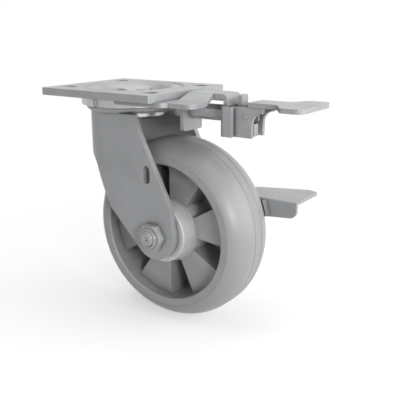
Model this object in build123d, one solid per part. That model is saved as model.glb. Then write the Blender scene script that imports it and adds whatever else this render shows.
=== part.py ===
"""Swivel castor with a top plate, a foot lever that locks the swivel and a foot pedal that brakes the wheel.

All lengths are in millimetres. The origin is the middle of the top plate's upper face, on the swivel axis.
+X is the trailing side, where the two foot levers are. +Z is up, and the wheel turns about a line along Y.
"""

import os
from math import asin, atan2, cos, degrees, pi, radians, sin, sqrt

from build123d import *

# Main sizes
overall_height = 190.5
wheel_share = 0.8
wheel_offset = 47.6
running_gap = 0.3
fit_gap = 0.05

# Top plate
plate_length = 114.3
plate_width = 101.6
plate_thickness = 6.0
plate_corner = 1.2
slot_end_margin = 13.15
slot_side_margin = 17.45
slot_length = 14.5
slot_width = 10.3
recess_radius = 43.0
recess_depth = 1.0
ridge_half_width = 2.7
dish_radius = 31.0
dish_depth = 5.5
dish_wall = 6.0

# Swivel head
disc_radius = 44.0
disc_thickness = 6.7
disc_gap = 0.8
disc_bore = 31.5
notch_width = 12.4
notch_floor = 40.3
main_ball_diameter = 6.35
main_ball_pitch = 36.0
main_ball_count = 20
ball_gap = 0.15
lower_ball_diameter = 4.76
lower_ball_pitch = 21.5
lower_ball_count = 14
race_gap = 0.5
race_radius = 27.0
race_thickness = 5.7
race_edge = 2.5
race_web = 2.0
neck_wall = 1.7
kingpin_diameter = 19.05
kingpin_head_across = 28.58
kingpin_head_height = 4.7

# Fork
sheet = 4.8
crown_radius = 40.0
crown_bevel = 2.2
crown_hole = 12.2
leg_clearance = 6.25
front_centre = -0.6
front_depth = 35.2
leg_rear_top = 28.6
leg_knee_x = 34.0
leg_knee_z = -29.1
leg_heel_x = 65.2
leg_heel_rise = 25.2
leg_toe = 19.7
leg_front_x = 2.8
leg_front_rise = 17.4
leg_throat_x = -13.6
leg_throat_z = -60.4
leg_brow_z = -41.1
crease_front_z = -21.3
crease_rear_z = -29.2
crease_lean = 15.0
leg_slot_x = 41.8
leg_slot_rise = 50.0
leg_slot_length = 14.5
leg_slot_width = 6.9

# Axle
axle_diameter = 12.7
axle_hex_across = 20.6
axle_nut_height = 6.6
axle_collar_height = 1.7
axle_collar_radius = 8.4
axle_thread_end = 1.6
axle_head_height = 7.9
axle_washer_radius = 14.0
axle_washer_thickness = 2.2
spring_washer_radius = 10.6
spring_washer_thickness = 3.0
spring_washer_cut = 1.2
sleeve_radius = 9.5
hub_washer_radius = 19.5
hub_washer_thickness = 3.5

# Wheel
tread_width = 52.5
tread_flat = 4.7
tread_shoulder_angle = 61.2
tread_thickness = 12.8
rim_wall = 6.0
hub_radius = 26.0
hub_face_radius = 24.0
hub_edge = 0.6
web_half = 15.0
web_thickness = 6.0
wedge_pairs = 6
wedge_start = 12.0
pocket_angle = 24.4
web_fillet = 1.6
roller_diameter = 6.0
roller_length = 42.0
roller_count = 10
cage_thickness = 2.4

# Lock bracket, under the top plate
lock_sheet = 3.6
bracket_start = 17.0
bracket_wide = 88.0
bracket_shoulder = plate_length / 2 + 4.85
bracket_narrow = 78.0
bracket_end = plate_length / 2 + 30.15
bracket_corner = 6.2
bridge_base = 40.0
bridge_top = 20.0
bridge_rise = 5.9
bridge_foot_x = plate_length / 2 + 3.85
bridge_brow_x = plate_length / 2 + 8.15
tongue_outer_x = plate_length / 2 + 42.85
tongue_bend = 5.0
tongue_root = 8.0
tab_x = plate_length / 2 + 0.25
tab_width = 25.0
tab_bottom = -31.5
rivet_x = plate_length / 2 - 6.15
rivet_y = 21.0
rivet_diameter = 6.0
rivet_head = 9.5

# Lock lever and latch
rod_diameter = 6.0
rod_z = -15.7
guide_across = 11.0
housing_width = 30.0
housing_sheet = 3.5
housing_lap = 1.2
housing_end = tongue_outer_x + 6.5
housing_corner = 4.6
lever_pivot_x = tongue_outer_x + 15.0
lever_pin_diameter = 4.5
lever_start = lever_pivot_x - 10.7
lever_outer_width = 20.0
lever_sheet = 3.0
lever_plate = 3.5
lever_top = -5.0
lever_wall_top = -9.0
lever_step_x = lever_pivot_x + 3.0
lever_wall_end = lever_pivot_x + 6.0
lever_scoop = 9.0
lever_arm_width = 21.0
neck_x = lever_pivot_x + 27.0
pad_x = lever_pivot_x + 36.5
pad_end = lever_pivot_x + 53.5
pad_width = 50.0
pad_corner = 6.5
pad_root = 4.0
neck_round = 7.0
cheek_inner = 6.8
cheek_thickness = 3.2
cheek_top = -10.0
cheek_bottom = -21.0
cheek_reach = 4.0
cheek_bevel = 2.0
stop_x = lever_pivot_x - 9.0
stop_width = 9.0
stop_top = -0.4
cross_pin_diameter = 5.0
cross_pin_drop = 12.2
cross_pin_seat = 1.5
lever_travel = 22.0
bolt_width = 11.8
bolt_top_gap = 0.3
bolt_tip_clear = 1.9
bolt_step = 1.6
bolt_tooth = 3.3
bolt_depth = 10.6
bolt_rear_gap = 2.4
rod_seat = 5.0
link_thickness = 6.0
link_x = tongue_outer_x + 3.8
link_post = 5.2
link_end = lever_pivot_x + 4.4

# Brake
brake_sheet = 2.5
brake_side_gap = 2.25
pedal_rise = 27.5
pedal_start_x = 88.5
pedal_end_x = 141.2
pedal_corner_width = 38.9
pedal_far_x = 132.2
pedal_far_width = 42.9
pedal_root_width = 27.0
flange_start_x = 88.5
flange_depth = 13.4
flange_slope = 0.082
flange_corner = 6.0
brake_pivot_x = 76.5
brake_pivot_rise = 16.3
brake_pivot_diameter = 8.0
brake_pivot_head = 1.8
brake_pivot_tail = 2.2
brake_boss_radius = 8.0
brake_arm_thickness = 3.2
brake_arm_end_x = 126.0
brake_arm_end_radius = 5.5
brake_bracket_thickness = 3.2
bracket_slot_radius = 10.0
bracket_axle_radius = 16.0
bracket_pivot_radius = 9.0
shoe_gap = 2.0
shoe_depth = 10.2
shoe_height = 5.0
shoe_low_angle = 11.0
shoe_high_angle = 22.0
shoe_width = 7.0
brake_bolt_diameter = 6.0
brake_bolt_across = 10.0
brake_bolt_head = 4.0
brake_bolt_end = 2.0
brake_nut_height = 5.0
brake_nut_washer = 1.2
brake_nut_washer_radius = 6.2

# Sizes that follow from the ones above
wheel_diameter = wheel_share * overall_height
wheel_radius = wheel_diameter / 2
axle_z = wheel_radius - overall_height
core_radius = wheel_radius - tread_thickness
rim_radius = core_radius - rim_wall
slot_spacing_x = plate_length - 2 * slot_end_margin
slot_spacing_y = plate_width - 2 * slot_side_margin
leg_inner = tread_width / 2 + leg_clearance
leg_outer = leg_inner + sheet
disc_top = -plate_thickness - disc_gap
disc_bottom = disc_top - disc_thickness
crown_bottom = disc_bottom - sheet
main_ball_z = -plate_thickness - disc_gap / 2
race_top = crown_bottom - race_gap
race_bottom = race_top - race_thickness
lower_ball_z = crown_bottom - race_gap / 2
dish_bottom = -dish_depth - dish_wall
nut_top = race_top - race_web
bracket_bottom = -plate_thickness - lock_sheet
bracket_cut = disc_radius + disc_gap
bridge_z = -plate_thickness + bridge_rise
tab_inner_x = tab_x + lock_sheet
web_x = tongue_outer_x - housing_lap
housing_top = lever_wall_top
lever_plate_bottom = lever_top - lever_plate
hub_half = leg_inner - hub_washer_thickness - running_gap
tread_shoulder = (tread_width / 2 - tread_flat) / sin(radians(tread_shoulder_angle))
leg_slot_z = axle_z + leg_slot_rise
roller_pitch = sleeve_radius + roller_diameter / 2 + fit_gap
hub_bore = roller_pitch + roller_diameter / 2 + fit_gap
bolt_tip_x = disc_radius + bolt_tip_clear
bolt_face_x = bolt_tip_x + bolt_step
bolt_rear_x = tab_x - bolt_rear_gap
bolt_top = bracket_bottom - bolt_top_gap
cross_pin_z = rod_z - cross_pin_drop
bracket_outer_y = leg_outer + brake_bracket_thickness
pedal_top = axle_z + pedal_rise
pedal_near_y = tread_width / 2 + brake_side_gap
brake_arm_y = pedal_near_y + brake_sheet
brake_arm_outer_y = brake_arm_y + brake_arm_thickness
brake_pivot_z = axle_z + brake_pivot_rise


def side_view(sketch, y_from, y_to):
    """Solid from a sketch of x and z, between two planes across the axle."""
    return extrude(Plane.XZ.offset(-y_from) * sketch, -(y_to - y_from))


def plan_view(sketch, z_from, z_to):
    """Solid from a sketch of x and y, between two heights."""
    return extrude(Pos(0, 0, z_from) * sketch, z_to - z_from)


def end_view(sketch, x_from, x_to):
    """Solid from a sketch of y and z, between two planes across the trailing direction."""
    return extrude(Plane.YZ.offset(x_from) * sketch, x_to - x_from)


def upright(x, y, radius, z_from, z_to):
    """Round bar or hole along Z."""
    return plan_view(Pos(x, y) * Circle(radius), z_from, z_to)


def crossbar(x, z, radius, y_from, y_to):
    """Round bar or hole along Y."""
    return side_view(Pos(x, z) * Circle(radius), y_from, y_to)


def lengthbar(z, radius, x_from, x_to):
    """Round bar or hole along X, in the middle plane."""
    return end_view(Pos(0, z) * Circle(radius), x_from, x_to)


def hexagon(across):
    """Six-sided outline with the given distance between its flat sides."""
    return RegularPolygon(across / 2, 6, major_radius=False)


def outline(points):
    """Closed face through corner points."""
    return make_face(Polyline(*points, close=True))


def turned(points):
    """Solid of revolution about the swivel axis, from points of radius and height."""
    return revolve(Plane.XZ * outline(points), Axis.Z)


def ball_track(pitch, radius, z):
    """Ring-shaped cutter that leaves a groove for a row of balls."""
    return revolve(Plane.XZ * (Pos(pitch, z) * Circle(radius)), Axis.Z)


def rounded(sketch, corners):
    """Sketch with the corners nearest to the given points rounded, as (x, y, radius)."""
    for x, y, radius in corners:
        nearest = sorted(sketch.vertices(), key=lambda v: (v.X - x) ** 2 + (v.Y - y) ** 2)[0]
        sketch = fillet(nearest, radius)
    return sketch


# Swivel head

def slots(side):
    """The two bolt slots at one end of the plate, as a sketch."""
    pair = Sketch()
    for y in (-slot_spacing_y / 2, slot_spacing_y / 2):
        pair += Pos(side * slot_spacing_x / 2, y) * SlotOverall(slot_length, slot_width)
    return pair


def top_plate():
    blank = RectangleRounded(plate_length, plate_width, plate_corner)
    plate = plan_view(blank - slots(1) - slots(-1), -plate_thickness, 0)
    dish_floor_radius = dish_radius - 5.5
    ridge = [main_ball_pitch - ridge_half_width, main_ball_pitch + ridge_half_width]
    hollow = turned([
        (0, 1), (recess_radius, 1), (recess_radius, 0), (recess_radius - 1.0, -recess_depth),
        (ridge[1] + 1.4, -recess_depth), (ridge[1], -0.3), (ridge[0], -0.3), (ridge[0] - 1.4, -recess_depth),
        (dish_radius, -recess_depth - 0.3), (dish_floor_radius, -dish_depth), (0, -dish_depth),
    ])
    boss = turned([
        (0, -dish_depth), (dish_radius, -plate_thickness + 0.5), (dish_radius - 0.2, -plate_thickness),
        (dish_floor_radius + 1.5, dish_bottom), (0, dish_bottom),
    ])
    plate = plate + boss - hollow
    plate -= upright(0, 0, kingpin_diameter / 2 + fit_gap, dish_bottom - 1, 1)
    plate -= ball_track(main_ball_pitch, main_ball_diameter / 2 + ball_gap, main_ball_z)
    for x, y in rivet_places():
        plate -= upright(x, y, rivet_diameter / 2 + fit_gap, -plate_thickness - 1, 1)
        plate -= Pos(x, y, -0.75) * Cone(rivet_diameter / 2 + fit_gap, rivet_diameter / 2 + 1.5 + fit_gap, 1.5)
    return plate


def kingpin():
    head = plan_view(hexagon(kingpin_head_across), -dish_depth, -dish_depth + kingpin_head_height)
    dome = turned([
        (0, -dish_depth), (kingpin_head_across / 2 + 3, -dish_depth),
        (kingpin_head_across / 2 + 3, -dish_depth + kingpin_head_height - 2.4),
        (kingpin_head_across / 2 - 1, -dish_depth + kingpin_head_height), (0, -dish_depth + kingpin_head_height),
    ])
    shank = upright(0, 0, kingpin_diameter / 2, race_bottom, -dish_depth)
    return (head & dome) + chamfer(shank.faces().sort_by(Axis.Z)[0].edges(), 1.0)


def kingpin_nut():
    nut = plan_view(hexagon(kingpin_head_across), race_bottom, nut_top)
    return nut - upright(0, 0, kingpin_diameter / 2 + fit_gap, race_bottom - 1, nut_top + 1)


def lower_race():
    neck_radius = kingpin_diameter / 2 + neck_wall
    nut_room = kingpin_head_across / 2 / cos(pi / 6) + 0.6
    cup = turned([
        (0, dish_bottom), (neck_radius, dish_bottom), (neck_radius, race_top), (race_radius, race_top),
        (race_radius, race_bottom), (0, race_bottom),
    ])
    rim = cup.edges().filter_by(GeomType.CIRCLE).sort_by(Axis.Z)[0]
    cup = fillet(rim, race_edge)
    cup -= upright(0, 0, nut_room, race_bottom - 1, nut_top)
    cup -= upright(0, 0, kingpin_diameter / 2 + fit_gap, race_bottom - 1, 1)
    return cup - ball_track(lower_ball_pitch, lower_ball_diameter / 2 + ball_gap, lower_ball_z)


def ball_row(count, pitch, diameter, z):
    """Separate balls, evenly spaced on a circle."""
    balls = []
    for index in range(count):
        balls.append(Rot(0, 0, 360 * index / count) * Pos(pitch, 0, z) * Sphere(diameter / 2))
    return Compound(children=balls)


def swivel_disc():
    ring = upright(0, 0, disc_radius, disc_bottom, disc_top)
    ring = chamfer(ring.edges().filter_by(GeomType.CIRCLE), 0.5)
    ring -= upright(0, 0, disc_bore, disc_bottom - 1, disc_top + 1)
    for turn in range(4):
        notch = Box(disc_radius, notch_width, disc_thickness * 2, align=(Align.MIN, Align.CENTER, Align.CENTER))
        ring -= Rot(0, 0, 90 * turn) * Pos(notch_floor, 0, disc_bottom) * notch
    return ring - ball_track(main_ball_pitch, main_ball_diameter / 2 + ball_gap, main_ball_z)


# Fork

def fork_plan(half_width, depth):
    """Rounded front and straight sides of the fork in plan."""
    rear = wheel_offset + leg_toe + 10
    front = Pos(front_centre, 0) * Ellipse(depth, half_width)
    return front + Pos((front_centre + rear) / 2, 0) * Rectangle(rear - front_centre, 2 * half_width)


def lean_wedge(inset, side):
    """What the slanting upper facet of one leg takes away, moved inwards by an inset."""
    slope = (crease_rear_z - crease_front_z) / (leg_knee_x - front_centre)
    size = 200
    block = Box(size, size, size, align=(Align.CENTER, Align.MIN, Align.MIN))
    block = Rot(crease_lean, 0, 0) * block
    block = Pos(front_centre, leg_outer - inset, crease_front_z) * Rot(0, -degrees(atan2(slope, 1)), 0) * block
    return block if side > 0 else mirror(block, Plane.XZ)


def leg_outline():
    """Side view of the fork below the crown, ending in a round toe about the axle."""
    front_z = axle_z + leg_front_rise
    heel_z = axle_z + leg_heel_rise
    reach = wheel_offset - leg_front_x
    lean = atan2(leg_front_rise, reach) + asin(leg_toe / sqrt(reach ** 2 + leg_front_rise ** 2))
    side = outline([
        (-crown_radius, crown_bottom), (-crown_radius, leg_brow_z), (leg_throat_x, leg_throat_z),
        (leg_front_x, front_z), (wheel_offset - leg_toe * sin(lean), axle_z - leg_toe * cos(lean)),
        (wheel_offset, axle_z), (wheel_offset + leg_toe, axle_z), (leg_heel_x, heel_z),
        (leg_knee_x, leg_knee_z), (leg_rear_top, crown_bottom),
    ])
    side = rounded(side, [
        (leg_throat_x, leg_throat_z, 14), (leg_front_x, front_z, 22), (leg_heel_x, heel_z, 20),
        (leg_knee_x, leg_knee_z, 10),
    ])
    return side + Pos(wheel_offset, axle_z) * Circle(leg_toe)


def fork():
    depth = axle_z - leg_toe - 1
    skin = plan_view(fork_plan(leg_outer, front_depth), depth, crown_bottom)
    void = plan_view(fork_plan(leg_inner, front_depth - sheet), depth - 1, crown_bottom)
    for side in (-1, 1):
        skin -= lean_wedge(0, side)
        void -= lean_wedge(sheet, side)
    legs = (skin - void) & side_view(leg_outline(), -crown_radius - 5, crown_radius + 5)
    crown = upright(0, 0, crown_radius, crown_bottom, disc_bottom)
    crown = chamfer(crown.faces().sort_by(Axis.Z)[0].edges(), crown_bevel)
    body = crown + legs
    body -= upright(0, 0, crown_hole, crown_bottom - 1, disc_bottom + 1)
    body -= ball_track(lower_ball_pitch, lower_ball_diameter / 2 + ball_gap, lower_ball_z)
    body -= crossbar(wheel_offset, axle_z, axle_diameter / 2 + fit_gap, -leg_outer - 1, leg_outer + 1)
    slot = Pos(leg_slot_x, leg_slot_z) * SlotOverall(leg_slot_length, leg_slot_width, rotation=90)
    return body - side_view(slot, -leg_outer - 1, leg_outer + 1)


# Axle

def axle_bolt():
    seat = bracket_outer_y + axle_washer_thickness + spring_washer_thickness
    end = -leg_outer - axle_nut_height - axle_collar_height - axle_thread_end
    shank = crossbar(wheel_offset, axle_z, axle_diameter / 2, end, seat)
    shank = chamfer(shank.faces().sort_by(Axis.Y)[0].edges(), 1.2)
    head = side_view(Pos(wheel_offset, axle_z) * hexagon(axle_hex_across), seat, seat + axle_head_height)
    crown = crossbar(wheel_offset, axle_z, axle_hex_across / 2 / cos(pi / 6), seat, seat + axle_head_height)
    crown = chamfer(crown.faces().sort_by(Axis.Y)[-1].edges(), 0.9)
    return shank + (head & crown)


def axle_nut():
    seat = -leg_outer
    front = seat - axle_nut_height
    body = side_view(Pos(wheel_offset, axle_z) * hexagon(axle_hex_across), front, seat)
    bevel = crossbar(wheel_offset, axle_z, axle_hex_across / 2 / cos(pi / 6), front, seat)
    bevel = chamfer(bevel.faces().sort_by(Axis.Y)[0].edges(), 1.2)
    collar = crossbar(wheel_offset, axle_z, axle_collar_radius, front - axle_collar_height, front)
    collar = fillet(collar.faces().sort_by(Axis.Y)[0].edges(), 0.8)
    bore = crossbar(wheel_offset, axle_z, axle_diameter / 2 + fit_gap, front - 10, seat + 1)
    return (body & bevel) + collar - bore


def axle_washers():
    """Flat washer and split spring washer under the bolt's head."""
    bore = Circle(axle_diameter / 2 + fit_gap)
    flat_end = bracket_outer_y + axle_washer_thickness
    spot = Pos(wheel_offset, axle_z)
    flat = side_view(spot * (Circle(axle_washer_radius) - bore), bracket_outer_y, flat_end)
    ring = Circle(spring_washer_radius) - bore
    cut = Pos(0, spring_washer_radius) * Rectangle(spring_washer_cut, 2 * spring_washer_radius, rotation=20)
    spring = side_view(spot * (ring - cut), flat_end, flat_end + spring_washer_thickness)
    return Compound(children=[flat, spring])


def axle_sleeve():
    tube = Circle(sleeve_radius) - Circle(axle_diameter / 2 + fit_gap)
    return side_view(Pos(wheel_offset, axle_z) * tube, -leg_inner, leg_inner)


def hub_washers():
    disc = Circle(hub_washer_radius) - Circle(sleeve_radius + fit_gap)
    pair = []
    for side in (-1, 1):
        ends = sorted((side * leg_inner, side * (leg_inner - hub_washer_thickness)))
        pair.append(side_view(Pos(wheel_offset, axle_z) * disc, ends[0], ends[1]))
    return Compound(children=pair)


# Wheel, drawn about the axle line and then moved to its place

def at_axle(shape):
    return Pos(wheel_offset, 0, axle_z) * shape


def wheel_turned(points):
    """Solid of revolution about the axle, from points of radius and distance from the middle plane."""
    return revolve(outline(points), Axis.Y)


def pocket(centre_angle, side):
    """Wedge-shaped hollow of the web, open to one side of the wheel."""
    half = radians(pocket_angle / 2)
    inner = hub_radius + 0.6
    outer = rim_radius - 0.2
    rays = []
    for angle in (-half, half):
        rays.append((cos(angle), sin(angle)))
    low, high = rays
    wires = Line((inner * low[0], inner * low[1]), (outer * low[0], outer * low[1]))
    wires += ThreePointArc((outer * low[0], outer * low[1]), (outer, 0), (outer * high[0], outer * high[1]))
    wires += Line((outer * high[0], outer * high[1]), (inner * high[0], inner * high[1]))
    wires += ThreePointArc((inner * high[0], inner * high[1]), (inner, 0), (inner * low[0], inner * low[1]))
    mouth = side * (web_half + 1)
    floor = -side * (web_half - web_thickness)
    ends = sorted((mouth, floor))
    wedge = side_view(make_face(wires), ends[0], ends[1])
    upright_edges = wedge.edges().filter_by(Axis.Y)
    wedge = fillet(upright_edges, web_fillet)
    return Rot(0, -centre_angle, 0) * wedge


def wheel_core():
    half_width = tread_width / 2
    body = wheel_turned([
        (hub_bore, -hub_half), (hub_face_radius - hub_edge, -hub_half), (hub_face_radius, -hub_half + hub_edge),
        (hub_radius, -web_half), (rim_radius, -web_half), (rim_radius - 0.5, -half_width + 1),
        (rim_radius + 0.5, -half_width), (core_radius, -half_width), (core_radius, half_width),
        (rim_radius + 0.5, half_width), (rim_radius - 0.5, half_width - 1), (rim_radius, web_half),
        (hub_radius, web_half), (hub_face_radius, hub_half - hub_edge), (hub_face_radius - hub_edge, hub_half),
        (hub_bore, hub_half),
    ])
    step = 360 / wedge_pairs
    for index in range(wedge_pairs):
        body -= pocket(wedge_start + step / 2 + step * index, -1)
        body -= pocket(wedge_start + step * index, 1)
    return at_axle(body)


def tyre_body(radial_gap, side_gap):
    """Tyre without its bore, grown outwards and sideways by the given gaps."""
    half_width = tread_width / 2 + side_gap
    reach = tread_width / 2 - tread_flat
    crown = wheel_radius + radial_gap
    drop = tread_shoulder - sqrt(tread_shoulder ** 2 - reach ** 2)
    middle = reach * 0.7
    middle_drop = tread_shoulder - sqrt(tread_shoulder ** 2 - middle ** 2)
    edge = tread_width / 2
    low = ThreePointArc((crown - drop, -edge), (crown - middle_drop, -tread_flat - middle), (crown, -tread_flat))
    high = ThreePointArc((crown, tread_flat), (crown - middle_drop, tread_flat + middle), (crown - drop, edge))
    ends = Polyline((crown, -tread_flat), (crown, tread_flat))
    if side_gap > 0:
        ends += Polyline((crown - drop, edge), (crown - drop, half_width), (core_radius, half_width))
        ends += Polyline((core_radius, -half_width), (crown - drop, -half_width), (crown - drop, -edge))
    else:
        ends += Line((crown - drop, edge), (core_radius, edge))
        ends += Line((core_radius, -edge), (crown - drop, -edge))
    inside = Line((core_radius, half_width), (core_radius, -half_width))
    return revolve(make_face(low + high + ends + inside), Axis.Y)


def tread():
    return at_axle(tyre_body(0, 0))


def roller_places():
    return [360 * (index + 0.5) / roller_count for index in range(roller_count)]


def bearing_rollers():
    rollers = []
    for angle in roller_places():
        bar = crossbar(roller_pitch, 0, roller_diameter / 2, -roller_length / 2, roller_length / 2)
        rollers.append(at_axle(Rot(0, angle, 0) * bar))
    return Compound(children=rollers)


def roller_cage():
    half = roller_length / 2 + 2.5
    tube = Circle(roller_pitch + cage_thickness / 2) - Circle(roller_pitch - cage_thickness / 2)
    cage = side_view(tube, -half, half)
    room = roller_length / 2 + 0.2
    for angle in roller_places():
        gap = crossbar(roller_pitch, 0, roller_diameter / 2 + 0.12, -room, room)
        cage -= Rot(0, angle, 0) * gap
    return at_axle(cage)


# Lock bracket

def rivet_places():
    return [(rivet_x, -rivet_y), (rivet_x, rivet_y)]


def bracket_plan():
    half_wide = bracket_wide / 2
    half_narrow = bracket_narrow / 2
    points = [
        (bracket_start, -half_wide), (bracket_shoulder, -half_wide), (bracket_shoulder + 4, -half_narrow),
        (bracket_end, -half_narrow), (bracket_end, half_narrow), (bracket_shoulder + 4, half_narrow),
        (bracket_shoulder, half_wide), (bracket_start, half_wide),
    ]
    plan = rounded(outline(points), [
        (bracket_shoulder, -half_wide, 4.0), (bracket_shoulder, half_wide, 4.0),
        (bracket_end, -half_narrow, bracket_corner), (bracket_end, half_narrow, bracket_corner),
    ])
    plan -= Circle(bracket_cut)
    plan -= Pos((tab_x + lock_sheet / 2) / 2, 0) * Rectangle(tab_x + lock_sheet / 2, tab_width)
    plan -= slots(1)
    for x, y in rivet_places():
        plan -= Pos(x, y) * Circle(rivet_diameter / 2 + fit_gap)
    return plan


def bridge(lower):
    """Raised middle of the bracket, as a solid that is moved down by an amount."""
    base_length = bracket_end - bridge_foot_x
    top_length = bracket_end - bridge_brow_x
    base = Pos(bridge_foot_x + base_length / 2, 0, -plate_thickness - lower) * Rectangle(base_length, bridge_base)
    top = Pos(bridge_brow_x + top_length / 2, 0, bridge_z - lower) * Rectangle(top_length, bridge_top)
    return loft([base, top])


def tongue():
    """End of the bridge, bent down onto the housing."""
    inner = max(tongue_bend - lock_sheet, 0.5)
    path = outline([
        (bracket_end - tongue_root, bridge_z), (tongue_outer_x, bridge_z), (tongue_outer_x, housing_top),
        (tongue_outer_x - lock_sheet, housing_top), (tongue_outer_x - lock_sheet, bridge_z - lock_sheet),
        (bracket_end - tongue_root, bridge_z - lock_sheet),
    ])
    path = rounded(path, [
        (tongue_outer_x, bridge_z, tongue_bend), (tongue_outer_x - lock_sheet, bridge_z - lock_sheet, inner)])
    strip = side_view(path, -bridge_top / 2, bridge_top / 2)
    return strip


def lock_bracket():
    body = plan_view(bracket_plan(), bracket_bottom, -plate_thickness)
    body -= bridge(lock_sheet)
    body += bridge(0) - bridge(lock_sheet)
    body += tongue()
    tab = Pos(tab_x + lock_sheet / 2, (tab_bottom - plate_thickness) / 2) * Rectangle(
        lock_sheet, -plate_thickness - tab_bottom)
    tab = rounded(tab, [(tab_x, -plate_thickness, 3.0)])
    tab = side_view(tab, -tab_width / 2, tab_width / 2)
    lower_corners = tab.edges().filter_by(Axis.X).sort_by(Axis.Z)[0:2]
    body += fillet(lower_corners, 2.0)
    return body - lengthbar(rod_z, rod_diameter / 2 + fit_gap, tab_x - 1, tab_inner_x + 1)


def bracket_rivets():
    rivets = []
    for x, y in rivet_places():
        pin = upright(x, y, rivet_diameter / 2, bracket_bottom, 0)
        pin += Pos(x, y, -0.75) * Cone(rivet_diameter / 2, rivet_diameter / 2 + 1.5, 1.5)
        head = upright(x, y, rivet_head / 2, bracket_bottom - 2.2, bracket_bottom)
        rivets.append(pin + chamfer(head.faces().sort_by(Axis.Z)[0].edges(), 0.9))
    return Compound(children=rivets)


def lock_guide():
    bar = end_view(Pos(0, rod_z) * Rot(0, 0, 30) * hexagon(guide_across), tab_inner_x, web_x - housing_sheet)
    return bar - lengthbar(rod_z, rod_diameter / 2 + fit_gap, tab_x, web_x)


def lock_housing():
    half = housing_width / 2
    back = web_x - housing_sheet
    plan = outline([(back, -half), (housing_end, -half), (housing_end, half), (back, half)])
    plan = rounded(plan, [(back, -half, housing_corner), (back, half, housing_corner)])
    plan -= Pos((web_x + housing_end + 1) / 2, 0) * Rectangle(
        housing_end + 1 - web_x, housing_width - 2 * housing_sheet)
    body = plan_view(plan, tab_bottom, housing_top)
    return body - lengthbar(rod_z, rod_diameter / 2 + fit_gap, back - 1, web_x + 1)


def pivot_clevis():
    inner = cheek_inner / 2
    cheek = outline([
        (web_x, cheek_top), (lever_pivot_x, cheek_top), (lever_pivot_x + cheek_reach, cheek_top - cheek_bevel),
        (lever_pivot_x + cheek_reach, cheek_bottom + cheek_bevel / 2),
        (lever_pivot_x + cheek_reach / 2, cheek_bottom), (web_x, cheek_bottom),
    ])
    body = side_view(cheek, inner, inner + cheek_thickness)
    body += side_view(cheek, -inner - cheek_thickness, -inner)
    stop = Pos(0, (stop_top + cheek_top - 1.5) / 2) * Rectangle(stop_width, stop_top - cheek_top + 1.5)
    stop = rounded(stop, [(-stop_width / 2, stop_top, 1.5), (stop_width / 2, stop_top, 1.5)])
    body += end_view(stop, stop_x, stop_x + cheek_thickness)
    pin_hole = lever_pin_diameter / 2 + fit_gap
    return body - crossbar(lever_pivot_x, rod_z, pin_hole, -lever_outer_width, lever_outer_width)


def lock_pivot_pin():
    half = lever_outer_width / 2 + 0.6
    pin = crossbar(lever_pivot_x, rod_z, lever_pin_diameter / 2, -half, half)
    return chamfer(pin.edges().filter_by(GeomType.CIRCLE), 0.4)


# Lock lever

def lever_side():
    """Side view of the lever's walls, with the scoop under the arm."""
    scoop_x = lever_wall_end + lever_scoop
    scoop_z = -lever_scoop - 12.5
    low = outline([
        (lever_start, lever_wall_top), (lever_step_x, lever_wall_top), (lever_step_x, lever_top),
        (scoop_x, lever_top), (scoop_x, scoop_z), (lever_wall_end, scoop_z),
        (lever_wall_end, tab_bottom), (lever_start, tab_bottom),
    ])
    return low - Pos(scoop_x, scoop_z) * Circle(lever_scoop)


def pad_plan():
    half_arm = lever_arm_width / 2
    half_pad = pad_width / 2
    points = [
        (lever_step_x, -half_arm), (neck_x, -half_arm), (pad_x, -half_pad), (pad_end, -half_pad),
        (pad_end, half_pad), (pad_x, half_pad), (neck_x, half_arm), (lever_step_x, half_arm),
    ]
    return rounded(outline(points), [
        (neck_x, -half_arm, neck_round), (neck_x, half_arm, neck_round),
        (pad_x, -half_pad, pad_root), (pad_x, half_pad, pad_root),
        (pad_end, -half_pad, pad_corner), (pad_end, half_pad, pad_corner),
    ])


def lock_pedal():
    outer = lever_outer_width / 2
    inner = outer - lever_sheet
    body = side_view(lever_side(), -outer, -inner) + side_view(lever_side(), inner, outer)
    body += plan_view(pad_plan(), lever_plate_bottom, lever_top)
    hole = lever_pin_diameter / 2 + fit_gap
    body -= crossbar(lever_pivot_x, rod_z, hole, -outer - 1, outer + 1)
    seat = inner + cross_pin_seat
    return body - crossbar(lever_pivot_x, cross_pin_z, cross_pin_diameter / 2 + fit_gap, -seat, seat)


def lock_cross_pin():
    """Pin between the lever's walls, let into both of them."""
    half = lever_outer_width / 2 - lever_sheet + cross_pin_seat
    return crossbar(lever_pivot_x, cross_pin_z, cross_pin_diameter / 2, -half, half)


# Latch

def latch_bolt():
    half = bolt_width / 2
    side = outline([
        (bolt_tip_x, bolt_top), (bolt_rear_x, bolt_top), (bolt_rear_x, bolt_top - bolt_depth),
        (bolt_face_x, bolt_top - bolt_depth), (bolt_face_x, bolt_top - bolt_tooth),
        (bolt_tip_x, bolt_top - bolt_tooth),
    ])
    body = side_view(side, -half, half)
    return body - lengthbar(rod_z, rod_diameter / 2, bolt_rear_x - rod_seat, bolt_rear_x + 1)


def latch_rod():
    rod = lengthbar(rod_z, rod_diameter / 2, bolt_rear_x - rod_seat, link_x)
    return rod


def latch_link():
    rise = cross_pin_drop * (1 - cos(radians(lever_travel)))
    room = cross_pin_diameter / 2 + running_gap
    slot_top = cross_pin_z + rise
    foot_bottom = tab_bottom + running_gap
    foot_top = slot_top + room + 2.4
    post_top = rod_z + rod_diameter / 2 + 0.5
    side = outline([
        (link_x, post_top), (link_x + link_post, post_top), (link_x + link_post, foot_top),
        (link_end, foot_top), (link_end, foot_bottom), (link_x, foot_bottom),
    ])
    side -= Pos(lever_pivot_x, slot_top) * Circle(room)
    side -= Pos(lever_pivot_x, (slot_top + foot_bottom - 1) / 2) * Rectangle(2 * room, slot_top - foot_bottom + 1)
    return side_view(side, -link_thickness / 2, link_thickness / 2)


# Brake, carried on the outside of the far leg

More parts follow.
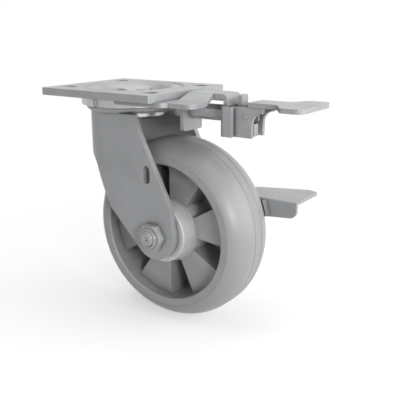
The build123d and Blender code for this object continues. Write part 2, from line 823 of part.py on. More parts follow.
def brake_bracket():
    slot_spot = Pos(leg_slot_x, leg_slot_z)
    axle_spot = Pos(wheel_offset, axle_z)
    pivot_spot = Pos(brake_pivot_x, brake_pivot_z)
    corners = slot_spot * Circle(bracket_slot_radius) + axle_spot * Circle(bracket_axle_radius)
    corners += pivot_spot * Circle(bracket_pivot_radius)
    plan = make_hull(corners.edges())
    plan -= slot_spot * Circle(brake_bolt_diameter / 2 + fit_gap)
    plan -= axle_spot * Circle(axle_diameter / 2 + fit_gap)
    plan -= pivot_spot * Circle(brake_pivot_diameter / 2 + fit_gap)
    return side_view(plan, leg_outer, bracket_outer_y)


def brake_bolt():
    head = side_view(
        Pos(leg_slot_x, leg_slot_z) * hexagon(brake_bolt_across), leg_inner - brake_bolt_head, leg_inner)
    end = bracket_outer_y + brake_nut_washer + brake_nut_height + brake_bolt_end
    return head + crossbar(leg_slot_x, leg_slot_z, brake_bolt_diameter / 2, leg_inner, end)


def brake_nut():
    spot = Pos(leg_slot_x, leg_slot_z)
    bore = Circle(brake_bolt_diameter / 2 + fit_gap)
    seat = bracket_outer_y + brake_nut_washer
    washer = side_view(spot * (Circle(brake_nut_washer_radius) - bore), bracket_outer_y, seat)
    nut = side_view(spot * (hexagon(brake_bolt_across) - bore), seat, seat + brake_nut_height)
    return washer + nut


def brake_pivot():
    radius = brake_pivot_diameter / 2
    head_radius = radius + 2.5
    head = crossbar(brake_pivot_x, brake_pivot_z, head_radius, brake_arm_y - brake_pivot_head, brake_arm_y)
    shank = crossbar(brake_pivot_x, brake_pivot_z, radius, brake_arm_y, bracket_outer_y)
    tail_end = bracket_outer_y + brake_pivot_tail
    tail = crossbar(brake_pivot_x, brake_pivot_z, head_radius, bracket_outer_y, tail_end)
    tail = chamfer(tail.faces().sort_by(Axis.Y)[-1].edges(), 1.2)
    return head + shank + tail


def brake_washer():
    """Spacer between the brake arm and its bracket."""
    ring = Circle(brake_pivot_diameter / 2 + 3.0) - Circle(brake_pivot_diameter / 2 + fit_gap)
    return side_view(Pos(brake_pivot_x, brake_pivot_z) * ring, brake_arm_outer_y, leg_outer)


def pedal_plan():
    """Plan of the foot plate, which widens from its root to its free end."""
    near = pedal_near_y
    return rounded(outline([
        (pedal_start_x, near), (pedal_end_x, near), (pedal_end_x, near + pedal_corner_width),
        (pedal_far_x, near + pedal_far_width), (pedal_start_x, near + pedal_root_width),
    ]), [
        (pedal_end_x, near + pedal_corner_width, 3.0), (pedal_far_x, near + pedal_far_width, 4.0),
        (pedal_start_x, near + pedal_root_width, 5.0),
    ])


def flange_bottom(x):
    """Height of the flange's lower edge, which slopes down towards the pivot."""
    return pedal_top - flange_depth - flange_slope * (pedal_end_x - x)


def brake_pedal():
    plate = plan_view(pedal_plan(), pedal_top - brake_sheet, pedal_top)
    flange = outline([
        (flange_start_x, pedal_top), (pedal_end_x, pedal_top), (pedal_end_x, flange_bottom(pedal_end_x)),
        (flange_start_x, flange_bottom(flange_start_x)),
    ])
    flange = rounded(flange, [
        (pedal_end_x, flange_bottom(pedal_end_x), flange_corner),
        (flange_start_x, flange_bottom(flange_start_x), flange_corner),
    ])
    body = plate + side_view(flange, pedal_near_y, pedal_near_y + brake_sheet)
    fold = body.edges().filter_by(Axis.X).sort_by(lambda e: e.center().Y - e.center().Z)[0]
    return fillet(fold, brake_sheet * 0.6)


def brake_arm():
    tip_z = pedal_top - brake_sheet - brake_arm_end_radius
    boss = Pos(brake_pivot_x, brake_pivot_z) * Circle(brake_boss_radius)
    tip = Pos(brake_arm_end_x, tip_z) * Circle(brake_arm_end_radius)
    bar = make_hull((boss + tip).edges())
    bar -= Pos(brake_pivot_x, brake_pivot_z) * Circle(brake_pivot_diameter / 2 + fit_gap)
    return side_view(bar, brake_arm_y, brake_arm_outer_y)


def brake_shoe():
    """Pad on the pedal's flange that follows the far shoulder of the tread."""
    inner = wheel_radius - shoe_depth
    outer = inner + shoe_height
    wedge = Polygon((0, 0), *[
        (2 * outer * cos(radians(angle)), 2 * outer * sin(radians(angle)))
        for angle in (shoe_low_angle, shoe_high_angle)
    ], align=None)
    sector = wedge & (Circle(outer) - Circle(inner))
    block = side_view(sector, pedal_near_y - shoe_width, pedal_near_y)
    return at_axle(block - tyre_body(shoe_gap, brake_side_gap / 2))


nodes = {
    "top_plate": top_plate,
    "kingpin": kingpin,
    "kingpin_nut": kingpin_nut,
    "lower_race": lower_race,
    "lower_balls": lambda: ball_row(lower_ball_count, lower_ball_pitch, lower_ball_diameter, lower_ball_z),
    "lock_bracket": lock_bracket,
    "bracket_rivets": bracket_rivets,
    "lock_guide": lock_guide,
    "lock_housing": lock_housing,
    "pivot_clevis": pivot_clevis,
    "lock_pivot_pin": lock_pivot_pin,
    "lock_pedal": lock_pedal,
    "lock_cross_pin": lock_cross_pin,
    "latch_bolt": latch_bolt,
    "latch_rod": latch_rod,
    "latch_link": latch_link,
    "fork": fork,
    "swivel_disc": swivel_disc,
    "main_balls": lambda: ball_row(main_ball_count, main_ball_pitch, main_ball_diameter, main_ball_z),
    "axle_bolt": axle_bolt,
    "axle_nut": axle_nut,
    "axle_washers": axle_washers,
    "axle_sleeve": axle_sleeve,
    "hub_washers": hub_washers,
    "brake_bracket": brake_bracket,
    "brake_bolt": brake_bolt,
    "brake_nut": brake_nut,
    "brake_pivot": brake_pivot,
    "brake_washer": brake_washer,
    "wheel_core": wheel_core,
    "tread": tread,
    "bearing_rollers": bearing_rollers,
    "roller_cage": roller_cage,
    "brake_pedal": brake_pedal,
    "brake_arm": brake_arm,
    "brake_shoe": brake_shoe,
}

os.makedirs("parts", exist_ok=True)
for name, build in nodes.items():
    export_step(build(), "parts/" + name + ".step")
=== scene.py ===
import math

import bmesh
import bpy
from mathutils import Matrix, Vector


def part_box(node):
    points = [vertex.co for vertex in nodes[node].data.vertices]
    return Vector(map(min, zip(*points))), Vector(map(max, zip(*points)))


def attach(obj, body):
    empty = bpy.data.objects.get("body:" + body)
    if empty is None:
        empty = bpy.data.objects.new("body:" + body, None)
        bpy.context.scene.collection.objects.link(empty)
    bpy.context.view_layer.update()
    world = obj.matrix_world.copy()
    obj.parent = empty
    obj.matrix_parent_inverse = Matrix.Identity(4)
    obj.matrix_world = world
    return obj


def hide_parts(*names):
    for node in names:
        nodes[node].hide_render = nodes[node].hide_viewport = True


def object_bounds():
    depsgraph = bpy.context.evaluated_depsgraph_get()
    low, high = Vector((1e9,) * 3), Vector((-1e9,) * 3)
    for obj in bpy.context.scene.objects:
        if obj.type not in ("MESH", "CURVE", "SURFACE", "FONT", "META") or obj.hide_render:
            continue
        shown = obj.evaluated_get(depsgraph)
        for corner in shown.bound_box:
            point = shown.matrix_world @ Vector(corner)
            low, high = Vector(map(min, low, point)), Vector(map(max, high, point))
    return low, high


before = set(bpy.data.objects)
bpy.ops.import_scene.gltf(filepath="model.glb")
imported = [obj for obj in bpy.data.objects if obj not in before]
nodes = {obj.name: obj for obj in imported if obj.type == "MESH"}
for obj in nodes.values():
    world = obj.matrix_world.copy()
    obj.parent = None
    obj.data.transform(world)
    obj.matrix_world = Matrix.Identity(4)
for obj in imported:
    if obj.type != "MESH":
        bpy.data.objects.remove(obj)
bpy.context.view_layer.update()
scene = bpy.context.scene

# Camera: focal length in mm, place in metres and the directions of its three axes
CAMERA_LENS = 57.69
CAMERA_PLACE = (0.35864, -0.41647, 0.05360)
CAMERA_RIGHT = (0.82019162, 0.57207855, -0.00344089)
CAMERA_UP = (-0.15221795, 0.22402548, 0.96262261)
CAMERA_BACK = (0.5514666, -0.78901123, 0.27082444)

# Places and sizes of the solids, lengths in metres
AXLE_X = 0.0476
AXLE_Z = (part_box("tread")[0].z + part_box("tread")[1].z) / 2
HUB_RADIUS = 0.026
TREAD_FLAT = 0.0047
TREAD_ANGLE = math.radians(61.2)
LEG_SLOT_X = 0.0418
LEG_SLOT_RISE = 0.050

# Fine shapes of the tyre, lengths in metres
GROOVE_HALF = 0.00045
GROOVE_FLOOR_HALF = 0.3 * GROOVE_HALF
GROOVE_DEPTH = 0.00035
TREAD_LIP = 0.0006
SHOULDER_STEPS = 22
TREAD_SIDES = 224
TREAD_SHARP = math.radians(28)

# Bolts, lengths in metres, with the small hollow in the threaded end
AXLE_BOLT = {"radius": 0.00635, "pitch": 0.00195, "thread_length": 0.016, "across": 0.0206}
BRAKE_BOLT = {"radius": 0.003, "pitch": 0.001, "thread_length": 0.012, "across": 0.010}
BRAKE_HEAD_HEIGHT = 0.004
HOLLOW_RADIUS = 0.0016
HOLLOW_FLOOR = 0.0006
HOLLOW_DEPTH = 0.0012
BOLT_SIDES = 96
BOLT_SHARP = math.radians(32)
RINGS_PER_PITCH = 10

# Thread: its depth and half its groove's width per pitch, and the end's chamfer per depth
THREAD_DEPTH = 0.6
THREAD_HALF = 0.44
TIP_CHAMFER = 1.1

# Head: its flat top and collar as shares of half its width, the collar's height in metres,
# and how steeply the corners are bevelled
HEAD_FLAT = 0.955
COLLAR_SHARE = 0.94
COLLAR_HEIGHT = 0.0004
HEAD_SLOPE = 0.52

# Light. The world's level is for diffuse rays; camera and glossy rays meet plain white
WORLD_LEVEL = 0.24
WORLD_TINT = (0.98, 0.99, 1.0, 1.0)
WHITE = (1.0, 1.0, 1.0, 1.0)
FLOOR_TONE = 0.62
FLOOR_GLOW = 0.50
FLOOR_HALF = 8.0
FADE_MIDDLE = (0.05, 0.0)
FADE_START = 0.16
FADE_END = 0.42
LIGHTS_AIM = (0.04, 0.0, -0.09)
LIGHTS = (
    # name, place, width and height, watts
    ("key", (1.12, -0.72, 0.22), (0.35, 0.35), 7.5),
    ("side", (1.35, 0.35, 0.20), (1.7, 1.4), 19.0),
    ("top", (-0.05, 0.15, 1.2), (1.3, 1.3), 9.0),
)

# Materials: the brightest tone of a rubbed edge, and the directions that fine marks run in.
# A small number draws the marks out along its axis
BRIGHTEST = 0.9
MARKS_ALONG_X = (0.12, 1.0, 1.0)
MARKS_ALONG_XY = (0.12, 0.12, 1.0)
MARKS_ALONG_YZ = (1.0, 0.12, 0.12)
MARKS_EVEN = (1.0, 1.0, 1.0)


def make_camera():
    data = bpy.data.cameras.new("camera")
    data.sensor_width = 36.0
    data.lens = CAMERA_LENS
    data.clip_start = 0.02
    data.clip_end = 20.0
    camera = bpy.data.objects.new("camera", data)
    scene.collection.objects.link(camera)
    axes = (Vector(CAMERA_RIGHT), Vector(CAMERA_UP), Vector(CAMERA_BACK))
    turn = Matrix(axes).transposed().to_4x4()
    camera.matrix_world = Matrix.Translation(CAMERA_PLACE) @ turn
    scene.camera = camera


# Materials, each a node tree of its own

class Tree:
    """A material's nodes, with short calls to add and join them."""

    def __init__(self, name):
        self.material = bpy.data.materials.new(name)
        self.material.use_nodes = True
        self.nodes = self.material.node_tree.nodes
        self.links = self.material.node_tree.links
        self.nodes.clear()
        self.out = self.add("ShaderNodeOutputMaterial")
        self.shader = self.add("ShaderNodeBsdfPrincipled")
        self.links.new(self.shader.outputs[0], self.out.inputs[0])
        self.place = self.add("ShaderNodeTexCoord").outputs["Object"]

    def add(self, kind, **values):
        node = self.nodes.new(kind)
        for key, value in values.items():
            setattr(node, key, value)
        return node

    def put(self, socket, value):
        if isinstance(value, bpy.types.NodeSocket):
            self.links.new(value, socket)
        else:
            socket.default_value = value

    def math(self, kind, a, b=0.0):
        node = self.add("ShaderNodeMath", operation=kind)
        self.put(node.inputs[0], a)
        self.put(node.inputs[1], b)
        return node.outputs[0]

    def vector(self, kind, a, b=None):
        node = self.add("ShaderNodeVectorMath", operation=kind)
        self.put(node.inputs[0], a)
        if b is not None:
            self.put(node.inputs[1], b)
        return node

    def noise(self, scale, detail=3.0, rough=0.55, stretch=None, distortion=0.0):
        place = self.place
        if stretch is not None:
            mapping = self.add("ShaderNodeMapping")
            self.links.new(place, mapping.inputs[0])
            mapping.inputs["Scale"].default_value = stretch
            place = mapping.outputs[0]
        node = self.add("ShaderNodeTexNoise")
        self.links.new(place, node.inputs["Vector"])
        node.inputs["Scale"].default_value = scale
        node.inputs["Detail"].default_value = detail
        node.inputs["Roughness"].default_value = rough
        node.inputs["Distortion"].default_value = distortion
        return node.outputs["Fac"]

    def span(self, value, low, high, to_low, to_high):
        node = self.add("ShaderNodeMapRange", clamp=True)
        self.put(node.inputs["Value"], value)
        node.inputs["From Min"].default_value = low
        node.inputs["From Max"].default_value = high
        node.inputs["To Min"].default_value = to_low
        node.inputs["To Max"].default_value = to_high
        return node.outputs[0]

    def vary(self, noise, to_low, to_high):
        """Spread the band in which most of a noise lies over a range of values."""
        return self.span(noise, 0.3, 0.7, to_low, to_high)

    def vary_softly(self, noise, to_low, to_high):
        """The same with a wider band, so that almost nothing is cut off."""
        return self.span(noise, 0.2, 0.8, to_low, to_high)

    def mix(self, factor, a, b):
        node = self.add("ShaderNodeMix", data_type="RGBA")
        self.put(node.inputs[0], factor)
        self.put(node.inputs[6], a)
        self.put(node.inputs[7], b)
        return node.outputs[2]

    def scale(self, colour, factor):
        node = self.vector("SCALE", colour)
        self.links.new(factor, node.inputs["Scale"])
        return node.outputs[0]

    def bump(self, height, strength, distance, normal=None):
        node = self.add("ShaderNodeBump")
        node.inputs["Strength"].default_value = strength
        node.inputs["Distance"].default_value = distance
        self.links.new(height, node.inputs["Height"])
        if normal is not None:
            self.links.new(normal, node.inputs["Normal"])
        return node.outputs[0]

    def softened(self, radius):
        """Normal that is rounded off at sharp edges."""
        bevel = self.add("ShaderNodeBevel", samples=6)
        bevel.inputs["Radius"].default_value = radius
        return bevel.outputs[0]

    def nearness(self, soft):
        """One at a sharp edge, zero away from it."""
        flat = self.add("ShaderNodeNewGeometry").outputs["Normal"]
        agreement = self.vector("DOT_PRODUCT", soft, flat).outputs["Value"]
        return self.span(agreement, 0.80, 0.995, 1.0, 0.0)

    def painted_crease_shade(self, reach, darkest):
        """Factor that falls from one to darkest in corners and narrow gaps: painted shade from
        ambient occlusion.
        """
        node = self.add("ShaderNodeAmbientOcclusion", samples=8)
        node.inputs["Distance"].default_value = reach
        return self.span(node.outputs["AO"], 0.35, 0.95, darkest, 1.0)

    def set(self, name, value):
        self.put(self.shader.inputs[name], value)


def grey(value, tint=(1.0, 1.0, 1.0)):
    return (value * tint[0], value * tint[1], value * tint[2], 1.0)


def rubbed_grey(tone, gain, tint=(1.0, 1.0, 1.0)):
    return grey(min(tone * gain, BRIGHTEST), tint)


def plated_steel(name, tone, rough, brushed, wear=0.5, rounded=0.0006):
    """Bright zinc on pressed or turned steel: cloudy passivation, fine marks and rubbed edges."""
    tint = (0.985, 1.0, 1.02)
    t = Tree(name)
    soft = t.softened(rounded)
    cloud = t.noise(38.0, 4.0, 0.6)
    spangle = t.noise(420.0, 3.0, 0.6)
    marks = t.noise(700.0, 4.0, 0.65, stretch=brushed)
    shade = t.math("ADD", t.vary(cloud, 0.90, 1.06), t.vary(spangle, -0.035, 0.035))
    patches = t.span(t.noise(160.0, 3.0), 0.35, 0.65, 0.25, 1.0)
    rubbed = t.math("MULTIPLY", t.nearness(soft), patches)
    skin = t.scale(grey(tone, tint)[:3], shade)
    colour = t.mix(t.math("MULTIPLY", rubbed, wear), skin, rubbed_grey(tone, 1.55, tint))
    # Base colour darkened by painted crease shade (ambient occlusion)
    t.set("Base Color", t.scale(colour, t.painted_crease_shade(0.0035, 0.45)))
    t.set("Metallic", 0.15)
    scuffs = t.noise(90.0, 5.0, 0.7, distortion=0.6)
    dull = t.span(scuffs, 0.35, 0.75, rough - 0.07, rough + 0.09)
    t.set("Roughness", t.math("SUBTRACT", dull, t.math("MULTIPLY", rubbed, 0.08)))
    fine = t.bump(marks, 0.10, 0.00012, soft)
    t.set("Normal", t.bump(cloud, 0.12, 0.0006, fine))
    return t.material


def machined_steel(name, tone):
    """Turned steel with rings left by the tool."""
    t = Tree(name)
    soft = t.softened(0.0004)
    rings = t.noise(1500.0, 2.0, stretch=(0.25, 0.25, 1.0))
    skin = t.scale(grey(tone)[:3], t.vary(t.noise(60.0, 3.0), 0.88, 1.08))
    rubbed = t.math("MULTIPLY", t.nearness(soft), 0.5)
    t.set("Base Color", t.mix(rubbed, skin, rubbed_grey(tone, 1.5)))
    t.set("Metallic", 0.9)
    t.set("Roughness", t.vary(t.noise(120.0, 4.0), 0.26, 0.42))
    t.set("Normal", t.bump(rings, 0.15, 0.0001, soft))
    return t.material


def turned_and_painted_lit_hub(t):
    """Where the casting's hub is, and its brighter colour: a turned finish, and also painted light
    that lifts the hub out of the wheel's shade.
    """
    from_axle = t.vector("SUBTRACT", t.place, (AXLE_X, 0.0, AXLE_Z)).outputs[0]
    beside_axle = t.vector("MULTIPLY", from_axle, (1.0, 0.0, 1.0)).outputs[0]
    distance = t.vector("LENGTH", beside_axle).outputs["Value"]
    inside = t.span(distance, HUB_RADIUS + 0.0004, HUB_RADIUS + 0.0012, 1.0, 0.0)
    rings = t.vary(t.noise(1400.0, 2.0, stretch=(0.2, 1.0, 0.2)), 0.58, 0.68)
    bright = t.add("ShaderNodeCombineColor")
    for socket in bright.inputs[:3]:
        t.links.new(rings, socket)
    return inside, bright.outputs[0]


def cast_metal(name, tone):
    """Die-cast aluminium: fine orange peel, cloudy skin, polished edges, painted shade in creases,
    and a turned hub whose lighter colour is partly painted light.
    """
    t = Tree(name)
    soft = t.softened(0.0009)
    cloud = t.noise(30.0, 4.0, 0.6)
    peel = t.noise(900.0, 3.0, 0.6)
    flow = t.noise(70.0, 5.0, 0.7, distortion=1.2)
    shade = t.math("ADD", t.vary(cloud, 0.88, 1.05), t.vary(flow, -0.05, 0.05))
    rubbed = t.math("MULTIPLY", t.nearness(soft), 0.45)
    skin = t.scale(grey(tone, (1.0, 1.0, 1.01))[:3], shade)
    casting = t.mix(rubbed, skin, rubbed_grey(tone, 1.5))
    # The hub is painted lighter: a turned finish, and also painted light against the wheel's shade
    inside, bright = turned_and_painted_lit_hub(t)
    # Base colour darkened by painted crease shade (ambient occlusion)
    t.set("Base Color", t.scale(t.mix(inside, casting, bright), t.painted_crease_shade(0.004, 0.5)))
    t.set("Metallic", 0.12)
    t.set("Roughness", t.span(flow, 0.3, 0.75, 0.40, 0.56))
    fine = t.bump(peel, 0.14, 0.00015, soft)
    t.set("Normal", t.bump(flow, 0.10, 0.0006, fine))
    return t.material


def moulded_tread(name, tone):
    """Moulded polyurethane: smooth, faintly clouded, duller where it has run on a floor."""
    t = Tree(name)
    cloud = t.noise(14.0, 2.0, 0.5)
    speck = t.noise(420.0, 2.0, 0.5)
    shade = t.math("ADD", t.vary_softly(cloud, 0.96, 1.03), t.vary_softly(speck, -0.008, 0.008))
    split = t.add("ShaderNodeSeparateXYZ")
    t.links.new(t.place, split.inputs[0])
    across = t.math("ABSOLUTE", split.outputs["Y"])
    crown = t.span(across, 0.004, 0.012, 1.0, 0.0)
    marks = t.span(t.noise(620.0, 3.0, 0.6), 0.3, 0.75, 0.3, 0.9)
    scuff = t.math("MULTIPLY", crown, marks)
    skin = t.scale(grey(tone, (1.0, 1.0, 0.985))[:3], shade)
    worn = t.mix(t.math("MULTIPLY", scuff, 0.10), skin, grey(tone * 0.72))
    # Base colour darkened by painted crease shade (ambient occlusion)
    t.set("Base Color", t.scale(worn, t.painted_crease_shade(0.0025, 0.4)))
    base = t.vary_softly(t.noise(45.0, 2.0), 0.37, 0.42)
    t.set("Roughness", t.math("ADD", base, t.math("MULTIPLY", scuff, 0.10)))
    t.set("Specular IOR Level", 0.55)
    t.set("Coat Weight", 0.15)
    t.set("Coat Roughness", 0.30)
    t.set("Normal", t.bump(speck, 0.02, 0.0001))
    return t.material


def lining(name):
    """Matt moulded block with coarse grain."""
    t = Tree(name)
    grain = t.noise(900.0, 4.0, 0.7)
    t.set("Base Color", t.mix(t.span(grain, 0.35, 0.7, 0.0, 1.0), grey(0.18), grey(0.26)))
    t.set("Roughness", t.vary(grain, 0.72, 0.9))
    t.set("Normal", t.bump(grain, 0.35, 0.0003, t.softened(0.0006)))
    return t.material


def moulded_plastic(name, colour):
    """Smooth moulded plastic with a faint cloud."""
    t = Tree(name)
    t.set("Base Color", t.scale(colour, t.vary(t.noise(80.0, 3.0), 0.9, 1.08)))
    t.set("Roughness", t.vary(t.noise(300.0, 3.0), 0.42, 0.58))
    t.set("Normal", t.bump(t.noise(1200.0, 2.0), 0.1, 0.0001, t.softened(0.0004)))
    return t.material


# Shapes, in the same places as the solids that they stand for

def round_turns(count):
    return [2 * math.pi * i / count for i in range(count)]


def ring_points(x, z, heights, radii, turns):
    """Points round a line along Y, each with its own place on that line and its own radius."""
    return [(x + r * math.cos(turn), y, z + r * math.sin(turn))
            for y, r, turn in zip(heights, radii, turns)]


def ring_faces(row_count, count, closed):
    """Faces between rings; the last ring joins the first, or else both ends are capped."""
    faces = []
    for row in range(row_count if closed else row_count - 1):
        low = row * count
        high = ((row + 1) % row_count) * count
        for i in range(count):
            j = (i + 1) % count
            faces.append((low + i, low + j, high + j, high + i))
    if not closed:
        faces.append(tuple(range(count - 1, -1, -1)))
        faces.append(tuple(range((row_count - 1) * count, row_count * count)))
    return faces


def new_piece(name, rings, closed, sharp, material, body, stands_for):
    """Mesh from rings of points, all with the same count, that rides on a body."""
    mesh = bpy.data.meshes.new(name)
    points = [point for ring in rings for point in ring]
    mesh.from_pydata(points, [], ring_faces(len(rings), len(rings[0]), closed))
    shape = bmesh.new()
    shape.from_mesh(mesh)
    bmesh.ops.remove_doubles(shape, verts=shape.verts, dist=1e-7)
    bmesh.ops.recalc_face_normals(shape, faces=shape.faces)
    shape.to_mesh(mesh)
    shape.free()
    mesh.shade_smooth()
    mesh.set_sharp_from_angle(angle=sharp)
    piece = bpy.data.objects.new(name, mesh)
    scene.collection.objects.link(piece)
    mesh.materials.append(material)
    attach(piece, body)
    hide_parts(stands_for)


def tread_side(shoulder):
    """Half of the tyre's outside, from the flat to the edge, as distance across and drop."""
    side = [
        (TREAD_FLAT - GROOVE_HALF, 0.0),
        (TREAD_FLAT - GROOVE_FLOOR_HALF, GROOVE_DEPTH),
        (TREAD_FLAT + GROOVE_FLOOR_HALF, GROOVE_DEPTH),
    ]
    first = math.asin(GROOVE_HALF / shoulder)
    for step in range(SHOULDER_STEPS + 1):
        angle = first + step / SHOULDER_STEPS * (TREAD_ANGLE - first)
        across = TREAD_FLAT + shoulder * math.sin(angle)
        side.append((across, shoulder * (1 - math.cos(angle))))
    across, drop = side.pop()
    side.append((across - 0.3 * TREAD_LIP, drop - 0.6 * TREAD_LIP))
    side.append((across, drop + 0.3 * TREAD_LIP))
    return side


def make_tread(material):
    """Tyre with a flat crown; a fine mould groove marks each edge of the flat."""
    low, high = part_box("tread")
    core_low, core_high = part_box("wheel_core")
    radius = (high.z - low.z) / 2
    bore = (core_high.x - core_low.x) / 2
    half = high.y
    shoulder = (half - TREAD_FLAT) / math.sin(TREAD_ANGLE)
    right = [(radius - drop, across) for across, drop in tread_side(shoulder)]
    left = [(r, -across) for r, across in reversed(right)]
    profile = [(bore, -half)] + left + right + [(bore, half)]
    turns = round_turns(TREAD_SIDES)
    rings = []
    for r, across in profile:
        rings.append(ring_points(AXLE_X, AXLE_Z, [across] * TREAD_SIDES, [r] * TREAD_SIDES, turns))
    new_piece("tread_skin", rings, True, TREAD_SHARP, material, "wheel", "tread")


def thread_radii(bolt, along, turns):
    """Radius at each turn, at a distance along the thread from the bolt's end."""
    depth = THREAD_DEPTH * bolt["pitch"]
    fade = min(1.0, (bolt["thread_length"] - along) / bolt["pitch"])
    tip = max(bolt["radius"] - TIP_CHAMFER * depth + along, HOLLOW_RADIUS)
    radii = []
    for turn in turns:
        phase = (along / bolt["pitch"] + turn / (2 * math.pi)) % 1.0
        groove = max(0.0, 1.0 - abs(phase - 0.5) / THREAD_HALF) * depth * fade
        radii.append(min(bolt["radius"] - groove, tip))
    return radii


def bolt_rings(x, z, seat, end, head_top, bolt):
    """Rings from a threaded end to a six-sided head with corners along X, for a bolt along Y."""
    out = 1 if head_top > seat else -1
    turns = round_turns(BOLT_SIDES)
    rings = []

    def add(y, radii):
        rings.append(ring_points(x, z, [y] * BOLT_SIDES, radii, turns))

    def add_round(y, radius):
        add(y, [radius] * BOLT_SIDES)

    add_round(end + out * HOLLOW_DEPTH, HOLLOW_FLOOR)
    add_round(end, HOLLOW_RADIUS)
    length = bolt["thread_length"]
    steps = int(length / (bolt["pitch"] / RINGS_PER_PITCH))
    for step in range(steps + 1):
        along = length * step / steps
        add(end + out * along, thread_radii(bolt, along, turns))
    add_round(seat, bolt["radius"])
    half_width = bolt["across"] / 2
    flat = HEAD_FLAT * half_width
    hexagon = [half_width / math.cos(turn % (math.pi / 3) - math.pi / 6) for turn in turns]
    height = abs(head_top - seat)
    bevel = [seat + out * (height - HEAD_SLOPE * (r - flat)) for r in hexagon]
    add_round(seat, COLLAR_SHARE * half_width)
    add_round(seat + out * COLLAR_HEIGHT, COLLAR_SHARE * half_width)
    add(seat + out * COLLAR_HEIGHT, hexagon)
    rings.append(ring_points(x, z, bevel, hexagon, turns))
    add_round(head_top, flat)
    return rings


def make_bolts(material):
    low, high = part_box("axle_bolt")
    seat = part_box("axle_washers")[1].y
    rings = bolt_rings(AXLE_X, AXLE_Z, seat, low.y, high.y, AXLE_BOLT)
    new_piece("axle_bolt_thread", rings, False, BOLT_SHARP, material, "yoke",
              "axle_bolt")
    low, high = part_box("brake_bolt")
    seat = low.y + BRAKE_HEAD_HEIGHT
    rings = bolt_rings(LEG_SLOT_X, AXLE_Z + LEG_SLOT_RISE, seat, high.y, low.y, BRAKE_BOLT)
    new_piece("brake_bolt_thread", rings, False, BOLT_SHARP, material, "yoke",
              "brake_bolt")


def dress_nodes():
    """Give every solid its material and slot, and add the shapes that stand for three of them."""
    sheet_flat = plated_steel("zinc_sheet_flat", 0.38, 0.38, MARKS_ALONG_YZ)
    sheet_upright = plated_steel("zinc_sheet_upright", 0.38, 0.38, MARKS_ALONG_XY)
    sheet_lever = plated_steel("zinc_sheet_lever", 0.38, 0.36, MARKS_ALONG_X)
    fastener = plated_steel("zinc_fastener", 0.40, 0.30, MARKS_EVEN, wear=0.7)
    pin = plated_steel("zinc_pin", 0.36, 0.36, MARKS_EVEN, wear=0.2, rounded=0.0002)
    turned = machined_steel("turned_steel", 0.46)
    tread = moulded_tread("moulded_tread", 0.32)
    wearers = (
        (sheet_flat, ("top_plate", "lock_bracket")),
        (sheet_upright, ("fork", "brake_bracket")),
        (sheet_lever, ("lock_housing", "pivot_clevis", "lock_pedal", "brake_pedal", "brake_arm")),
        (fastener, ("axle_bolt", "axle_nut", "axle_washers", "brake_bolt", "brake_nut",
                    "brake_washer", "brake_pivot", "lock_guide", "kingpin", "kingpin_nut",
                    "bracket_rivets")),
        (pin, ("lock_pivot_pin", "lock_cross_pin")),
        (turned, ("swivel_disc", "lower_race", "latch_bolt", "latch_rod", "latch_link",
                  "axle_sleeve", "hub_washers", "main_balls", "lower_balls", "bearing_rollers")),
        (cast_metal("cast_aluminium", 0.38), ("wheel_core",)),
        (tread, ("tread",)),
        (lining("brake_lining"), ("brake_shoe",)),
        (moulded_plastic("cage_plastic", (0.05, 0.05, 0.055)), ("roller_cage",)),
    )
    wanted = {name: material for material, names in wearers for name in names}
    make_tread(tread)
    make_bolts(fastener)
    for name, node in nodes.items():
        node.data.materials.clear()
        node.data.materials.append(wanted[name])


# Floor, background and lights

def white_rays(tree):
    """One for camera, glossy and transmission rays, which see the white background, else zero."""
    path = tree.nodes.new("ShaderNodeLightPath")
    seen = path.outputs["Is Camera Ray"]
    for name in ("Is Glossy Ray", "Is Transmission Ray"):
        larger = tree.nodes.new("ShaderNodeMath")
        larger.operation = "MAXIMUM"
        tree.links.new(seen, larger.inputs[0])
        tree.links.new(path.outputs[name], larger.inputs[1])
        seen = larger.outputs[0]
    return seen


def mixed(tree, factor, first, second):
    mix = tree.nodes.new("ShaderNodeMixShader")
    tree.links.new(factor, mix.inputs[0])
    tree.links.new(first, mix.inputs[1])
    tree.links.new(second, mix.inputs[2])
    return mix.outputs[0]


def background(tree, colour, level):
    node = tree.nodes.new("ShaderNodeBackground")
    node.inputs[0].default_value = colour
    node.inputs[1].default_value = level
    return node.outputs[0]


def make_world():
    world = bpy.data.worlds.new("world")
    scene.world = world
    world.use_nodes = True
    tree = world.node_tree
    tree.nodes.clear()
    out = tree.nodes.new("ShaderNodeOutputWorld")
    plain = background(tree, WORLD_TINT, WORLD_LEVEL)
    bright = background(tree, WHITE, 1.0)
    tree.links.new(mixed(tree, white_rays(tree), plain, bright), out.inputs[0])


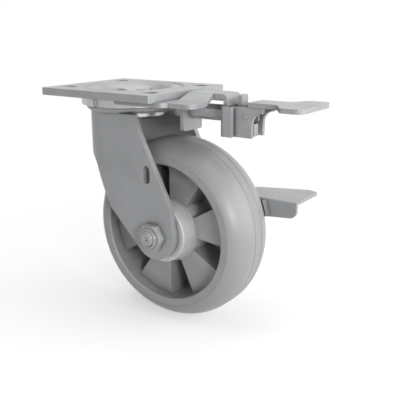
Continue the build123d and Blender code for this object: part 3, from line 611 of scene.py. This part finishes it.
def floor_material(height):
    """Pale near the object, so that its shadow shows, and plain white far off."""
    material = bpy.data.materials.new("floor")
    material.use_nodes = True
    tree = material.node_tree
    tree.nodes.clear()
    out = tree.nodes.new("ShaderNodeOutputMaterial")
    diffuse = tree.nodes.new("ShaderNodeBsdfDiffuse")
    diffuse.inputs[0].default_value = grey(FLOOR_TONE)
    glow = tree.nodes.new("ShaderNodeEmission")
    glow.inputs[1].default_value = FLOOR_GLOW
    lifted = tree.nodes.new("ShaderNodeAddShader")
    tree.links.new(diffuse.outputs[0], lifted.inputs[0])
    tree.links.new(glow.outputs[0], lifted.inputs[1])
    white = tree.nodes.new("ShaderNodeEmission")
    place = tree.nodes.new("ShaderNodeTexCoord")
    distance = tree.nodes.new("ShaderNodeVectorMath")
    distance.operation = "DISTANCE"
    distance.inputs[1].default_value = (*FADE_MIDDLE, height)
    tree.links.new(place.outputs["Object"], distance.inputs[0])
    fade = tree.nodes.new("ShaderNodeMapRange")
    fade.interpolation_type = "SMOOTHSTEP"
    fade.inputs["From Min"].default_value = FADE_START
    fade.inputs["From Max"].default_value = FADE_END
    tree.links.new(distance.outputs["Value"], fade.inputs["Value"])
    near_to_far = mixed(tree, fade.outputs[0], lifted.outputs[0], white.outputs[0])
    surface = mixed(tree, white_rays(tree), diffuse.outputs[0], near_to_far)
    tree.links.new(surface, out.inputs[0])
    return material


def make_floor():
    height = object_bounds()[0].z
    mesh = bpy.data.meshes.new("floor")
    sides = ((-1, -1), (1, -1), (1, 1), (-1, 1))
    corners = [(x * FLOOR_HALF, y * FLOOR_HALF, height) for x, y in sides]
    mesh.from_pydata(corners, [], [(0, 1, 2, 3)])
    floor = bpy.data.objects.new("floor", mesh)
    scene.collection.objects.link(floor)
    mesh.materials.append(floor_material(height))


def make_lights():
    for name, place, size, watts in LIGHTS:
        data = bpy.data.lights.new(name, "AREA")
        data.shape = "RECTANGLE"
        data.size, data.size_y = size
        data.energy = watts
        light = bpy.data.objects.new(name, data)
        scene.collection.objects.link(light)
        light.location = place
        light.rotation_mode = "QUATERNION"
        aim = Vector(LIGHTS_AIM) - Vector(place)
        light.rotation_quaternion = aim.to_track_quat("-Z", "Y")


dress_nodes()
make_camera()
make_world()
make_floor()
make_lights()
scene.view_settings.view_transform = "Standard"
